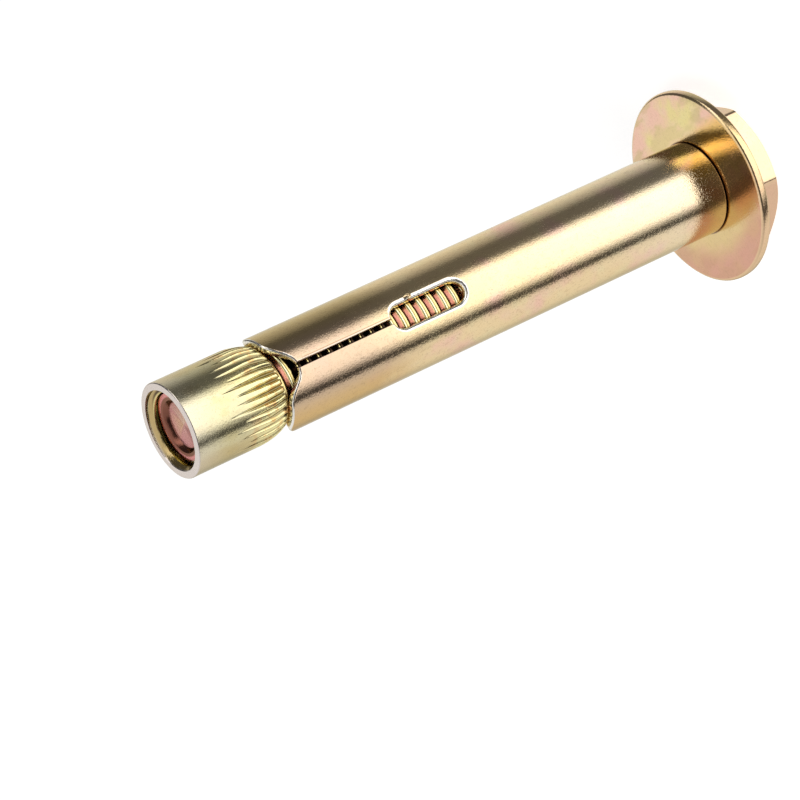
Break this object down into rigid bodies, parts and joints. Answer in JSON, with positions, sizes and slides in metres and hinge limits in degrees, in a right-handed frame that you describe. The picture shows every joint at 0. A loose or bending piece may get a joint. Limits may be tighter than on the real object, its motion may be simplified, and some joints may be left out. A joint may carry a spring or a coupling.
{
  "type": "expansion bolt",
  "caption": "Sleeve anchor: a hex-head bolt with a wide washer runs through a slotted expansion sleeve into a fluted taper nut that spreads it in masonry.",
  "frame": {"origin": "centre of the head's outer face, on which the anchor stands", "axes": "+Z along the bolt from the head to the nut; -Y towards the slot that faces the viewer; the other two slots are a third of a turn to each side of it, and the sleeve's seam is in line with the one on -X and +Y"},
  "size_m": [0.025, 0.025, 0.0852],
  "materials": {
    "bolt_zinc": "steel with a yellow zinc coat, rosy on the thread's flanks",
    "washer_zinc": "steel with a rosy zinc coat that shifts to yellow in patches",
    "sleeve_zinc": "rolled steel sheet with a yellow zinc coat, fine lengthwise grain",
    "nut_zinc": "turned steel with a greenish yellow zinc coat"
  },
  "bodies": {
    "sleeve": {"expansion_sleeve": "sleeve_zinc"},
    "bolt": {"hex_bolt": "bolt_zinc"},
    "washer": {"flat_washer": "washer_zinc"},
    "nut": {"cone_nut": "nut_zinc"}
  },
  "joints": [
    {"name": "bolt_turn", "type": "hinge", "parent": "sleeve", "child": "bolt", "pos_m": [0, 0, 0], "axis": [0, 0, -1], "range_deg": [0, 1800]},
    {"name": "nut_travel", "type": "slide", "parent": "sleeve", "child": "nut", "axis": [0, 0, 1], "range_m": [0, 0.0075]},
    {"name": "washer_spin", "type": "hinge", "parent": "sleeve", "child": "washer", "pos_m": [0, 0, 0.00585], "axis": [0, 0, 1], "continuous": true}
  ],
  "couplings": [
    {"joint": "nut_travel", "follows": "bolt_turn", "m_per_rad": 0.0002387}
  ]
}
